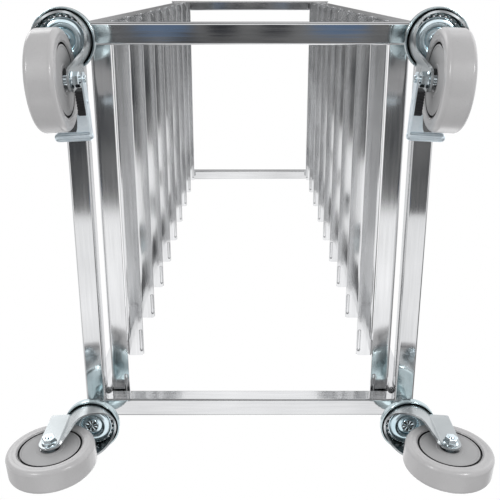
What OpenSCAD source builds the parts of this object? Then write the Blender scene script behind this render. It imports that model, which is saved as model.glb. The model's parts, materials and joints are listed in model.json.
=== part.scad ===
// Sheet pan rack on four swivel casters, the front pair with a foot brake.
// X is the width, Y the depth, Z is up. The floor is Z = 0, and the pans go in along Y.

/* [Rack] */
// Width over the base frame
rack_w = 530; // [480:5:600]
// Depth over the base frame
rack_d = 620; // [560:5:700]
// Height of the frame, without its casters
frame_h = 1600; // [1500:10:1700]
// Side of the square tubes
tube = 30; // [28:0.5:32]
// Corner radius of the square tubes
tube_r = 3; // [2:0.5:4]
// Wall of the square tubes
wall = 1.5; // [1.2:0.1:2]
// How far the posts stand in from the base frame's outer faces
post_inset = 5; // [3:0.5:6]

/* [Runners] */
// Height of the lowest runner above the frame's bottom face
first_runner = 34; // [31:1:45]
// Distance from one runner to the next
pitch = 167; // [150:1:167]
// Thickness of the runners
runner_t = 2; // [1.5:0.1:3]
// Width of a runner's ledge
ledge_w = 30; // [22:1:34]
// Height of a runner's upright leg
leg_h = 25; // [20:1:30]
// Outer bend radius of a runner
bend_r = 4; // [3:0.5:5]
// Radius of the ledge's corners in plan
corner_r = 5; // [3:0.5:7]
// Length of the pressed pan stop
stop_l = 45; // [30:1:60]
// Width of the pressed pan stop
stop_w = 7; // [5:0.5:8]
// Height of the pressed pan stop
stop_h = 3; // [2:0.5:4]

/* [Casters] */
// Height from the floor to the frame's bottom face
caster_h = 200; // [198:1:206]
// Wheel diameter
wheel_d = 127; // [122:1:127]
// Tread width
tread_w = 36; // [32:1:37]
// Radius of the tread's shoulders
shoulder_r = 7; // [5:0.5:9]
// Horizontal distance from the swivel axis to the axle
trail = 43; // [38:1:46]
// Angle by which the front casters trail inwards
toe = 3; // [0:1:10]
// Angle by which the rear casters trail outwards
splay = 86; // [82:1:94]
// Diameter of the swivel head
head_d = 85; // [82:1:88]
// Thickness of the fork's plate
fork_t = 3; // [2.5:0.1:3]

/* [Brake] */
// Length of the pedal bar across the wheel
pedal_l = 50; // [44:1:54]
// Diameter of the pedal bar
pedal_d = 12; // [10:0.5:13]
// Distance from the axle to the pedal bar's centre
pedal_reach = 73; // [71:0.5:76]
// Rise of the released pedal above the axle, in degrees
pedal_rise = 8; // [4:1:12]

/* [Hidden] */
$fn = 64;
eps = 0.01; // overlap of cutting shapes past a face

steel = "#c9cccf";
dark_steel = "#8f9397";
zinc = "#bcd0d6";
grey_rubber = "#b5b3b4";
grey_plastic = "#a9a9aa";
black_plastic = "#1c1d1f";

frame_z = caster_h;
top_z = caster_h + frame_h;
post_low = frame_z + tube;
post_high = top_z - tube;
post_x = rack_w / 2 - post_inset - tube / 2;
post_y = rack_d / 2 - post_inset - tube / 2;
runner_x = rack_w / 2 - post_inset - tube; // outer face of the upright legs
runner_l = rack_d - 2 * post_inset;
stop_gap = 8; // from the runner's rear end to the pan stop

// Caster heights above the floor, and radii about the swivel axis
axle_z = wheel_d / 2;
stem_r = 8.4;
stem_top = post_low + 45;
sleeve_low = post_low + 3;
sleeve_high = post_low + 41;
collar_h = 9;
collar_r = 14;
boss_r = 14;
head_r = head_d / 2;
head_wall = 2.5;
head_low = 139;
head_shoulder = 151;
head_top = 158;
head_flat_r = 27;
crown_low = 147.5;
crown_top = 150.3;
skirt_r = 38;
skirt_low = 140;
crown_edge = 1;
heel_z = 137; // top edge of the fork's legs behind the crown
// Front edge of the fork's walls from the crown down, as distance behind the swivel axis and height
fork_edge = [[17, 92], [6, 104], [-16, 118], [-32, 132]];
kingpin_r = 7.95;
kingpin_top = head_top + 4;
running = 0.05; // radial clearance of running fits
cup_rim_r = 30.2;
cup_rim_z = 141.8;
cup_low = 137.6;
cup_t = 2;
cup_in = 14.5; // the cup's lowest part lies between these two radii
cup_out = 24;
cup_neck_r = 9.5;
cup_neck_z = 145.1;
upper_ball_r = 2.4;
upper_ball_ring = 24;
upper_balls = 18;
lower_ball_r = 2.6;
lower_ball_ring = 31;
lower_balls = 24;
rivet_r = 10.5;
rivet_h = 3.5;
rivet_low = 139.6;

// Fork and wheel, from the wheel's middle outwards
leg_in = 21.5; // inner face of a fork leg
wall_r = skirt_r - 0.6; // the fork's walls stand just inside the skirt's outer face
wall_join = sqrt(pow(wall_r - fork_t, 2) - pow(leg_in, 2)); // where the fork's walls turn straight back
leg_end_r = 15;
sleeve_r = 6;
bolt_r = 5;
bearing_r = 14;
bearing_w = 8;
bearing_out = 19;
hub_r = 47;
hub_w = 33;
gap_in = 43.6; // inner radius of the groove round the hub
gap_depth = 4;
nut_af = 17;
nut_h = 8;
flange_r = 11;
flange_t = 2;
bolt_head_h = 6.5;

// Brake, from the wheel's middle outwards
arm_in = 37;
arm_t = 2.5;
arm_r = 9;
arm_end = 42; // end of the braked casters' bolts
block_in = 27;
block_from = 12.5;
block_to = 44;
block_h = 17;
web_in = 21;
web_step = 2; // the web is narrower by this beside the block
web_t = 2.5;
pedal_out = 41;
pedal_bite = 1; // how far the arm's edges lie inside the pedal bar's surface

// Point where a line from p touches the circle of radius r about c
function tangent(p, c, r, side) =
    let (d = p - c, a = atan2(d[1], d[0]) + side * acos(r / norm(d)))
    c + r * [cos(a), sin(a)];

// ---- Frame ----

module rounded_rect(w, h, r) {
    square([w - 2 * r, h], center = true);
    square([w, h - 2 * r], center = true);
    for (x = [-1, 1], y = [-1, 1])
        translate([x * (w / 2 - r), y * (h / 2 - r)])
            circle(r);
}

module square_tube(length) {
    translate([0, 0, -length / 2])
        linear_extrude(length)
            difference() {
                rounded_rect(tube, tube, tube_r);
                rounded_rect(tube - 2 * wall, tube - 2 * wall, tube_r - wall);
            }
}

// A post stands on the base frame; thin plates close its ends, the lower one round the caster stem
module post(x, y) {
    post_l = post_high - post_low;
    color(steel)
        translate([x * post_x, y * post_y, post_low]) {
            translate([0, 0, post_l / 2])
                square_tube(post_l);
            difference() {
                for (z = [0, post_l - wall])
                    translate([0, 0, z])
                        linear_extrude(wall)
                            rounded_rect(tube - wall, tube - wall, tube_r);
                translate([0, 0, -eps])
                    cylinder(r = stem_r + running, h = 2 * wall);
            }
        }
}

// Keeps the part of a tube along X that lies between mitre cuts at both ends
module mitred(length) {
    intersection() {
        children();
        translate([0, 0, -tube])
            linear_extrude(2 * tube)
                polygon([
                    [-length / 2, tube / 2], [length / 2, tube / 2],
                    [length / 2 - tube, -tube / 2], [tube - length / 2, -tube / 2]
                ]);
    }
}

// One side of a rectangular frame: its outer face is at distance out, turned by angle about Z
module frame_side(length, out, angle, z, bored) {
    color(steel)
        difference() {
            rotate([0, 0, angle])
                translate([0, out - tube / 2, z])
                    mitred(length)
                        rotate([0, 90, 0])
                            square_tube(length);
            if (bored)
                for (x = [-1, 1], y = [-1, 1])
                    translate([x * post_x, y * post_y, z - tube])
                        cylinder(r = stem_r + running, h = 2 * tube);
        }
}

module crossbar(y, z, bored) {
    frame_side(rack_w, rack_d / 2, y > 0 ? 0 : 180, z, bored);
}

module side_rail(x, z, bored) {
    frame_side(rack_d, rack_w / 2, x > 0 ? -90 : 90, z, bored);
}

// ---- Runners ----

module runner_section() {
    inner_r = bend_r - runner_t;
    translate([bend_r, 0])
        square([ledge_w - bend_r, runner_t]);
    translate([0, bend_r])
        square([runner_t, leg_h - bend_r]);
    intersection() {
        translate([bend_r, bend_r])
            difference() {
                circle(bend_r);
                circle(inner_r);
            }
        square(bend_r);
    }
}

// Plan of a runner with its two ledge corners rounded
module runner_plan() {
    translate([-eps, -runner_l / 2])
        square([ledge_w - corner_r + eps, runner_l]);
    translate([-eps, corner_r - runner_l / 2])
        square([ledge_w + eps, runner_l - 2 * corner_r]);
    for (y = [-1, 1])
        translate([ledge_w - corner_r, y * (runner_l / 2 - corner_r)])
            circle(corner_r);
}

module pan_stop() {
    y0 = runner_l / 2 - stop_gap - stop_l / 2;
    translate([ledge_w - stop_w / 2 - 1, y0, runner_t - eps])
        linear_extrude(stop_h)
            rounded_rect(stop_w, stop_l, stop_w / 2 - eps);
}

module left_runner(level) {
    translate([-runner_x, 0, frame_z + first_runner + (level - 1) * pitch]) {
        intersection() {
            rotate([90, 0, 0])
                translate([0, 0, -runner_l / 2])
                    linear_extrude(runner_l)
                        runner_section();
            translate([0, 0, -eps])
                linear_extrude(leg_h + 2 * eps)
                    runner_plan();
        }
        pan_stop();
    }
}

module runner(x, level) {
    color(steel)
        if (x < 0)
            left_runner(level);
        else
            mirror([1, 0, 0])
                left_runner(level);
}

// ---- Casters: each is drawn at the origin as a left one that trails along +Y ----

module at_caster(x, y) {
    turn = y < 0 ? -toe : splay;
    translate([x * post_x, y * post_y, 0])
        mirror([x > 0 ? 1 : 0, 0, 0])
            rotate([0, 0, turn])
                children();
}

module at_every_caster() {
    for (x = [-1, 1], y = [-1, 1])
        at_caster(x, y)
            children();
}

module at_axle() {
    translate([0, trail, axle_z])
        children();
}

// Turns a profile of (distance from the wheel's middle, radius) about the axle
module turned() {
    rotate([0, 90, 0])
        rotate_extrude()
            mirror([1, -1])
                children();
}

module along_axle(from, to, r, sides = $fn) {
    translate([from, 0, 0])
        rotate([0, 90, 0])
            cylinder(r = r, h = to - from, $fn = sides);
}

module ball_ring(count, ring, r, z) {
    for (i = [0:count - 1])
        rotate([0, 0, i * 360 / count])
            translate([ring, 0, z])
                sphere(r);
}

module stem_sleeves() {
    color(dark_steel)
        at_every_caster()
            translate([0, 0, sleeve_low])
                difference() {
                    cylinder(r = tube / 2 - wall - running, h = sleeve_high - sleeve_low);
                    translate([0, 0, -eps])
                        cylinder(r = stem_r + running, h = sleeve_high);
                }
}

module swivel_heads() {
    color(zinc)
        at_every_caster()
            difference() {
                union() {
                    rotate_extrude()
                        polygon([
                            [0, head_top], [head_flat_r, head_top], [head_r, head_shoulder],
                            [head_r, head_low], [head_r - head_wall, head_low],
                            [head_r - head_wall, head_shoulder - head_wall / 2],
                            [head_flat_r, head_top - head_wall], [0, head_top - head_wall]
                        ]);
                    translate([0, 0, head_top - eps])
                        cylinder(r = boss_r, h = frame_z - collar_h - head_top + 2 * eps);
                    translate([0, 0, frame_z - collar_h])
                        cylinder(r = collar_r, h = collar_h, $fn = 6);
                    translate([0, 0, frame_z - eps])
                        cylinder(r = stem_r, h = stem_top - frame_z);
                }
                translate([0, 0, head_low])
                    cylinder(r = kingpin_r, h = kingpin_top - head_low);
            }
}

// The rivet that holds the swivel together, with the lower ball cup under the fork's crown
module kingpins() {
    slope = 1.5; // how far the upper side of a sloped wall lies from its lower side
    color(zinc)
        at_every_caster()
            union() {
                translate([0, 0, rivet_low])
                    cylinder(r = kingpin_r, h = kingpin_top - rivet_low);
                translate([0, 0, rivet_low])
                    cylinder(r = rivet_r, h = rivet_h);
                rotate_extrude()
                    polygon([
                        [kingpin_r - 1, cup_neck_z], [cup_neck_r + slope, cup_neck_z],
                        [cup_in + slope, cup_low + cup_t], [cup_out, cup_low + cup_t],
                        [cup_rim_r - slope, cup_rim_z], [cup_rim_r, cup_rim_z],
                        [cup_rim_r, cup_rim_z - cup_t], [cup_out, cup_low], [cup_in, cup_low],
                        [cup_neck_r, cup_neck_z - cup_t], [kingpin_r - 1, cup_neck_z - cup_t]
                    ]);
            }
}

module raceway_balls() {
    color(steel)
        at_every_caster() {
            ball_ring(upper_balls, upper_ball_ring, upper_ball_r, head_top - head_wall - upper_ball_r);
            ball_ring(lower_balls, lower_ball_ring, lower_ball_r, cup_rim_z + lower_ball_r);
        }
}

// Outline of the fork's walls seen along the axle: from the crown back and down to the axle
module fork_outline() {
    axle = [trail, axle_z];
    heel = trail + leg_end_r;
    wall_top = crown_low + crown_edge;
    polygon(concat([
        [-head_r, skirt_low], [-head_r, wall_top], [wall_join, wall_top], [wall_join, heel_z],
        [heel, heel_z], [heel, axle_z], axle, tangent(fork_edge[0], axle, leg_end_r - running, 1)
    ], fork_edge));
    translate(axle)
        circle(leg_end_r);
}

// Plan of the fork's walls: round the crown, then straight back beside the wheel
module fork_plan() {
    difference() {
        circle(wall_r);
        circle(wall_r - fork_t);
        translate([-head_r, wall_join])
            square([2 * head_r, head_r]);
    }
    for (side = [0, 1])
        mirror([side, 0])
            translate([leg_in, wall_join])
                square([fork_t, head_r]);
}

module fork(x, y) {
    color(zinc)
        at_caster(x, y)
            difference() {
                union() {
                    rotate_extrude()
                        polygon([
                            [0, crown_low], [skirt_r - fork_t, crown_low], [skirt_r - fork_t, skirt_low],
                            [skirt_r, skirt_low], [skirt_r, crown_top - crown_edge],
                            [skirt_r - crown_edge, crown_top], [0, crown_top]
                        ]);
                    intersection() {
                        linear_extrude(crown_top)
                            fork_plan();
                        rotate([90, 0, 90])
                            translate([0, 0, -head_r])
                                linear_extrude(2 * head_r)
                                    fork_outline();
                    }
                }
                translate([0, 0, crown_low - eps])
                    cylinder(r = kingpin_r + running, h = fork_t + 1);
                at_axle()
                    along_axle(-2 * leg_in, 2 * leg_in, bolt_r);
            }
}

// ---- Wheels ----

module axle(x, y) {
    braked = y < 0;
    nut_side = braked ? 0 : 1;
    end = braked ? arm_end : leg_in + fork_t + flange_t + nut_h + 1.5;
    leg_out = leg_in + fork_t;
    color(zinc)
        at_caster(x, y)
            at_axle()
                mirror([nut_side, 0, 0]) {
                    along_axle(-leg_out - bolt_head_h + eps, end, bolt_r);
                    along_axle(-leg_in + running, leg_in - running, sleeve_r);
                    along_axle(-leg_out - bolt_head_h, -leg_out - flange_t, nut_af / 2 / cos(30), 6);
                    along_axle(-leg_out - flange_t, -leg_out, flange_r);
                    along_axle(leg_out, leg_out + flange_t, flange_r);
                    along_axle(leg_out + flange_t, leg_out + flange_t + nut_h, nut_af / 2 / cos(30), 6);
                }
}

module tread(x, y) {
    color(grey_rubber)
        at_caster(x, y)
            at_axle()
                turned() {
                    translate([0, (axle_z + hub_r) / 2])
                        rounded_rect(tread_w, axle_z - hub_r, shoulder_r);
                    translate([-hub_w / 2, hub_r])
                        square([hub_w, shoulder_r]);
                }
}

// Wheel core: a web between two side discs, with a groove round each disc
module hub(x, y) {
    color(grey_plastic)
        at_caster(x, y)
            at_axle()
                turned()
                    difference() {
                        translate([-hub_w / 2, sleeve_r + 1])
                            square([hub_w, hub_r - sleeve_r - 1]);
                        for (side = [0, 1])
                            mirror([side, 0]) {
                                translate([hub_w / 2 - gap_depth, gap_in])
                                    square([gap_depth + eps, hub_r - gap_in - 1]);
                                translate([bearing_out - bearing_w - 2.5, 0])
                                    square([hub_w, bearing_r]);
                            }
                    }
}

module bearings(x, y) {
    bearing_to = hub_w / 2;
    color(steel)
        at_caster(x, y)
            at_axle()
                for (side = [0, 1])
                    mirror([side, 0, 0])
                        difference() {
                            along_axle(bearing_to - bearing_w, bearing_to, bearing_r);
                            along_axle(0, bearing_out, sleeve_r + running);
                        }
}

// ---- Brake ----

module at_lever(x) {
    at_caster(x, -1)
        at_axle()
            rotate([pedal_rise, 0, 0])
                children();
}

// Pressed lever: side arm on the axle bolt, web, and pedal bar behind the wheel
module brake_lever(x) {
    color(zinc)
        at_lever(x)
            difference() {
                union() {
                    translate([arm_in, 0, 0])
                        rotate([90, 0, 90])
                            linear_extrude(arm_t) {
                                circle(arm_r);
                                polygon([
                                    [0, arm_r], [0, -arm_r], [block_to, -block_h / 2],
                                    [pedal_reach, pedal_bite - pedal_d / 2],
                                    [pedal_reach, pedal_d / 2 - pedal_bite],
                                    [block_to, block_h / 2]
                                ]);
                            }
                    translate([0, 0, -web_t / 2])
                        linear_extrude(web_t)
                            polygon([
                                [web_in + web_step, block_to], [arm_in + eps, block_to],
                                [arm_in + eps, pedal_reach], [pedal_out - pedal_l / 2, pedal_reach],
                                [web_in, wheel_d / 2 - web_step]
                            ]);
                    translate([0, pedal_reach, 0]) {
                        along_axle(pedal_out - pedal_l + pedal_d / 2, pedal_out - pedal_d / 2, pedal_d / 2);
                        translate([pedal_out - pedal_l + pedal_d / 2, 0, 0])
                            sphere(d = pedal_d);
                        translate([pedal_out - pedal_d / 2, 0, 0])
                            sphere(d = pedal_d);
                    }
                }
                along_axle(arm_in - 1, arm_in + arm_t + 1, bolt_r + running);
            }
}

module brake_block(x) {
    color(black_plastic)
        at_lever(x)
            translate([block_in, block_from, -block_h / 2])
                cube([arm_in - block_in, block_to - block_from, block_h]);
}

post(-1, -1);  // post_front_left
post(1, -1);  // post_front_right
post(-1, 1);  // post_rear_left
post(1, 1);  // post_rear_right
crossbar(-1, frame_z + tube / 2, true);  // base_crossbar_front
crossbar(1, frame_z + tube / 2, true);  // base_crossbar_rear
side_rail(-1, frame_z + tube / 2, true);  // base_rail_left
side_rail(1, frame_z + tube / 2, true);  // base_rail_right
crossbar(-1, top_z - tube / 2, false);  // top_crossbar_front
crossbar(1, top_z - tube / 2, false);  // top_crossbar_rear
side_rail(-1, top_z - tube / 2, false);  // top_rail_left
side_rail(1, top_z - tube / 2, false);  // top_rail_right
runner(-1, 1);  // runner_left_01
runner(-1, 2);  // runner_left_02
runner(-1, 3);  // runner_left_03
runner(-1, 4);  // runner_left_04
runner(-1, 5);  // runner_left_05
runner(-1, 6);  // runner_left_06
runner(-1, 7);  // runner_left_07
runner(-1, 8);  // runner_left_08
runner(-1, 9);  // runner_left_09
runner(-1, 10);  // runner_left_10
runner(1, 1);  // runner_right_01
runner(1, 2);  // runner_right_02
runner(1, 3);  // runner_right_03
runner(1, 4);  // runner_right_04
runner(1, 5);  // runner_right_05
runner(1, 6);  // runner_right_06
runner(1, 7);  // runner_right_07
runner(1, 8);  // runner_right_08
runner(1, 9);  // runner_right_09
runner(1, 10);  // runner_right_10
stem_sleeves();
swivel_heads();
kingpins();
raceway_balls();
fork(-1, -1);  // fork_front_left
fork(1, -1);  // fork_front_right
fork(-1, 1);  // fork_rear_left
fork(1, 1);  // fork_rear_right
axle(-1, -1);  // axle_front_left
axle(1, -1);  // axle_front_right
axle(-1, 1);  // axle_rear_left
axle(1, 1);  // axle_rear_right
tread(-1, -1);  // tread_front_left
tread(1, -1);  // tread_front_right
tread(-1, 1);  // tread_rear_left
tread(1, 1);  // tread_rear_right
hub(-1, -1);  // hub_front_left
hub(1, -1);  // hub_front_right
hub(-1, 1);  // hub_rear_left
hub(1, 1);  // hub_rear_right
bearings(-1, -1);  // bearings_front_left
bearings(1, -1);  // bearings_front_right
bearings(-1, 1);  // bearings_rear_left
bearings(1, 1);  // bearings_rear_right
brake_lever(-1);  // brake_lever_left
brake_lever(1);  // brake_lever_right
brake_block(-1);  // brake_block_left
brake_block(1);  // brake_block_right
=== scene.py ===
import json
import math

import bmesh
import bpy
import numpy as np
from mathutils import Matrix, Vector

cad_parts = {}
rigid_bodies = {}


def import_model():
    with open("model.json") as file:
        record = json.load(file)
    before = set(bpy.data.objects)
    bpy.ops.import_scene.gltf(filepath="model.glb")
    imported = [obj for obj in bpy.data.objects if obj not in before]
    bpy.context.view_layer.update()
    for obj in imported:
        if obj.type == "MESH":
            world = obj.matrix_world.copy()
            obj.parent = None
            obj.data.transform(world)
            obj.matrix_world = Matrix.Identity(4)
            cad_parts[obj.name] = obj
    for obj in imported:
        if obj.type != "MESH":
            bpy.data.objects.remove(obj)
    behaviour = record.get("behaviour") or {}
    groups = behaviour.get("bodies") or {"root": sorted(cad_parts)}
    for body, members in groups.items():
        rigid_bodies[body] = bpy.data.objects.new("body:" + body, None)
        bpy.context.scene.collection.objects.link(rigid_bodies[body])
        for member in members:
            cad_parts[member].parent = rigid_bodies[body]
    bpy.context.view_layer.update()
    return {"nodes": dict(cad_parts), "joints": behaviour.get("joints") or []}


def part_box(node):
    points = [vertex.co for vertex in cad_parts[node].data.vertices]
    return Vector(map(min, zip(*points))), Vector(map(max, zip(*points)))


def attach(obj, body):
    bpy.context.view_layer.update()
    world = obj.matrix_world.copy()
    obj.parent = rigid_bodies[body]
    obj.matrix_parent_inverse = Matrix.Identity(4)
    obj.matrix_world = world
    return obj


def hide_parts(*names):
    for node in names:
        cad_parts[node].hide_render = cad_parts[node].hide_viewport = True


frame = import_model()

scene = bpy.context.scene
segments = 96
sides = {"left": -1, "right": 1}
corners = ["front_left", "front_right", "rear_left", "rear_right"]
joints = {joint["name"]: joint for joint in frame["joints"]}
runnerLevels = range(1, 1 + sum(name.startswith("runner_left_") for name in frame["nodes"]))


# Shapes are worked out in millimetres, and addPiece turns them into metres.

# Each corner p becomes the curve (1-t)^2 a + 2t(1-t) p + t^2 b, where a and b lie one radius back and ahead.
def soften(points, radii, steps=5):
    points = np.asarray(points, float)
    longest = 0.49  # share of a side that a corner may use, so that two corners never meet
    t = np.linspace(0, 1, steps)[:, None]
    out = []
    for i, (p, r) in enumerate(zip(points, radii)):
        if r == 0 or i in (0, len(points) - 1):
            out.append(p[None])
            continue
        back, ahead = points[i - 1] - p, points[i + 1] - p
        backLength, aheadLength = np.linalg.norm(back), np.linalg.norm(ahead)
        a = p + back / backLength * min(r, backLength * longest)
        b = p + ahead / aheadLength * min(r, aheadLength * longest)
        out.append((1 - t) ** 2 * a + 2 * t * (1 - t) * p + t * t * b)
    return np.concatenate(out)


# Every side is cut at one quarter and three quarters again and again, which turns the path into a curve.
def smoothPath(points, times=3):
    points = np.asarray(points, float)
    for _ in range(times):
        a = points[:-1] * 0.75 + points[1:] * 0.25
        b = points[:-1] * 0.25 + points[1:] * 0.75
        middle = np.stack([a, b], 1).reshape(-1, points.shape[1])
        points = np.concatenate([points[:1], middle, points[-1:]])
    return points


def gridFaces(rows, columns, closeRows, closeColumns):  # four-sided faces between rows and columns
    i, j = np.meshgrid(
        np.arange(rows if closeRows else rows - 1),
        np.arange(columns if closeColumns else columns - 1), indexing="ij")
    nextRow, nextColumn = (i + 1) % rows, (j + 1) % columns
    quads = [i * columns + j, i * columns + nextColumn, nextRow * columns + nextColumn, nextRow * columns + j]
    return np.stack(quads, -1).reshape(-1, 4).tolist()


# A skin over rings of equally many points, with a flat cap at both ends unless the rings close on themselves.
def loft(rings, closed=False):
    rings = np.asarray(rings, float)
    rows, columns = rings.shape[:2]
    faces = gridFaces(rows, columns, closed, True)
    if not closed:
        faces += [list(range(columns)), list(range((rows - 1) * columns, rows * columns))]
    return rings.reshape(-1, 3), faces


# Point (r, h) of the profile goes to (r cos a, r sin a, h) for every angle a. A profile that starts off the
# axis is a closed loop.
def spin(profile, count=None):
    profile = np.asarray(profile, float)
    count = count or segments
    turn = np.linspace(0, 2 * np.pi, count, endpoint=False)
    r, h = profile[:, :1], profile[:, 1:]
    rings = np.stack([r * np.cos(turn), r * np.sin(turn), h + 0 * turn], -1)
    return rings.reshape(-1, 3), gridFaces(len(profile), count, profile[0, 0] > 1e-6, True)


def rod(radius, low, high, edge=0.5, count=None):  # a cylinder with chamfered ends
    profile = [(0, low), (radius - edge, low), (radius, low + edge), (radius, high - edge),
               (radius - edge, high), (0, high)]
    return spin(profile, count)


def prism(outline, low, high):  # an outline in X and Y, between two heights
    outline = np.asarray(outline, float)
    flat = np.ones((len(outline), 1))
    return loft([np.hstack([outline, flat * low]), np.hstack([outline, flat * high])])


def moved(shape, change):  # the same faces on points that have been changed
    return change(shape[0]), shape[1]


# Joins closed shapes into one piece. A part is (points, faces) or (points, faces, which material).
def addPiece(name, parts, body, materials, replaced=(), angle=35, rounding=0):
    name = name.replace(" ", "_")
    points, faces, indices, offset = [], [], [], 0
    for part in parts:
        points.append(part[0])
        faces += [[i + offset for i in face] for face in part[1]]
        indices += [part[2] if len(part) > 2 else 0] * len(part[1])
        offset += len(part[0])
    mesh = bpy.data.meshes.new(name)
    mesh.from_pydata((np.concatenate(points) * 0.001).tolist(), [], faces)
    mesh.polygons.foreach_set("material_index", indices)
    work = bmesh.new()
    work.from_mesh(mesh)
    bmesh.ops.remove_doubles(work, verts=work.verts, dist=1e-6)
    bmesh.ops.recalc_face_normals(work, faces=work.faces)
    work.to_mesh(mesh)
    work.free()
    mesh.polygons.foreach_set("use_smooth", np.ones(len(mesh.polygons), bool))
    mesh.set_sharp_from_angle(angle=math.radians(angle))
    for material in materials:
        mesh.materials.append(material)
    piece = bpy.data.objects.new(name, mesh)
    scene.collection.objects.link(piece)
    if rounding:
        bevel = piece.modifiers.new("Rounded edges", "BEVEL")
        bevel.width = rounding * 0.001
        bevel.segments = 3
        bevel.limit_method = "ANGLE"
        bevel.angle_limit = math.radians(50)
        bevel.harden_normals = True
    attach(piece, body)
    if replaced:
        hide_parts(*replaced)
    return piece


def put(tree, kind, inputs, **settings):  # a new node, with links or plain values on its inputs
    node = tree.nodes.new("ShaderNode" + kind)
    for key, value in settings.items():
        setattr(node, key, value)
    for key, value in inputs.items():
        if isinstance(value, bpy.types.NodeSocket):
            tree.links.new(value, node.inputs[key])
        else:
            node.inputs[key].default_value = value
    return node


def colorSocket(sockets, name):  # a Mix node has several sockets of one name, and this is the color one
    return [socket for socket in sockets if socket.name == name and socket.type == "RGBA"][0]


def mixColor(tree, factor, a, b):  # (1 - factor) a + factor b
    node = tree.nodes.new("ShaderNodeMix")
    node.data_type = "RGBA"
    for socket, value in ((node.inputs[0], factor), (colorSocket(node.inputs, "A"), a),
                          (colorSocket(node.inputs, "B"), b)):
        if isinstance(value, bpy.types.NodeSocket):
            tree.links.new(value, socket)
        else:
            socket.default_value = value
    return colorSocket(node.outputs, "Result")


def newGroup(name, inputs, outputs):
    tree = bpy.data.node_groups.new(name, "ShaderNodeTree")
    for label, kind, value in inputs:
        socket = tree.interface.new_socket(label, in_out="INPUT", socket_type="NodeSocket" + kind)
        socket.default_value = value
    for label, kind in outputs:
        tree.interface.new_socket(label, in_out="OUTPUT", socket_type="NodeSocket" + kind)
    return tree, tree.nodes.new("NodeGroupInput").outputs, tree.nodes.new("NodeGroupOutput").inputs


def stretchedNoise(tree, vector, stretch, scale, detail):  # noise of the place times the stretch
    scaled = put(tree, "VectorMath", {0: vector, 1: stretch}, operation="MULTIPLY")
    noise = put(tree, "TexNoise", {"Vector": scaled.outputs[0], "Scale": scale, "Detail": detail})
    return noise.outputs["Fac"]


def makeGrain():  # fine lines along one direction, laid over slow clouds: a tone from 0 to 1 and a height
    tree, given, out = newGroup(
        "Grain",
        [("Vector", "Vector", (0, 0, 0)), ("Stretch", "Vector", (1, 1, 1)), ("Line Scale", "Float", 60),
         ("Cloud Scale", "Float", 4), ("Cloud Share", "Float", 0.5)],
        [("Tone", "Float"), ("Height", "Float")])
    lines = stretchedNoise(tree, given["Vector"], given["Stretch"], given["Line Scale"], 3)
    clouds = put(tree, "TexNoise", {"Vector": given["Vector"], "Scale": given["Cloud Scale"], "Detail": 2})
    tone = put(tree, "Mix", {"Factor": given["Cloud Share"], "A": lines, "B": clouds.outputs["Fac"]})
    wide = put(tree, "MapRange", {"Value": tone.outputs[0], "From Min": 0.32, "From Max": 0.68})
    tree.links.new(wide.outputs[0], out["Tone"])
    tree.links.new(lines, out["Height"])
    return tree


def makeWearAndHighlight():  # rubbed marks and a painted highlight along raised edges: 1 on the edge, 0 elsewhere, broken up by noise
    tree, given, out = newGroup(
        "Edge Wear",
        [("Vector", "Vector", (0, 0, 0)), ("Reach", "Float", 0.06), ("Break Up", "Float", 120)],
        [("Mask", "Float")])
    convexity = put(tree, "NewGeometry", {}).outputs["Pointiness"]
    edge = put(tree, "Math", {0: convexity, 1: 0.5}, operation="SUBTRACT")
    raised = put(tree, "Math", {0: edge.outputs[0], 1: given["Reach"]}, operation="DIVIDE", use_clamp=True)
    noise = put(tree, "TexNoise", {"Vector": given["Vector"], "Scale": given["Break Up"], "Detail": 2})
    broken = put(tree, "Math", {0: raised.outputs[0], 1: noise.outputs["Fac"]}, operation="MULTIPLY")
    tree.links.new(broken.outputs[0], out["Mask"])
    return tree


def makeSpecks():  # small scattered spots, 1 inside a spot
    tree, given, out = newGroup(
        "Specks",
        [("Vector", "Vector", (0, 0, 0)), ("Scale", "Float", 400), ("Share", "Float", 0.2)],
        [("Mask", "Float")])
    noise = put(tree, "TexNoise", {"Vector": given["Vector"], "Scale": given["Scale"], "Detail": 4})
    limit = put(tree, "Math", {0: 0.78, 1: given["Share"]}, operation="SUBTRACT")
    top = put(tree, "Math", {0: limit.outputs[0], 1: 0.06}, operation="ADD")
    spots = put(tree, "MapRange",
                {"Value": noise.outputs["Fac"], "From Min": limit.outputs[0], "From Max": top.outputs[0]})
    tree.links.new(spots.outputs[0], out["Mask"])
    return tree


grainGroup, wearAndHighlightGroup, specksGroup = makeGrain(), makeWearAndHighlight(), makeSpecks()


def useGroup(tree, group, inputs):  # places a node group, with links or plain values on its inputs
    node = tree.nodes.new("ShaderNodeGroup")
    node.node_tree = group
    for key, value in inputs.items():
        if isinstance(value, bpy.types.NodeSocket):
            tree.links.new(value, node.inputs[key])
        else:
            node.inputs[key].default_value = value
    return node.outputs
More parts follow.
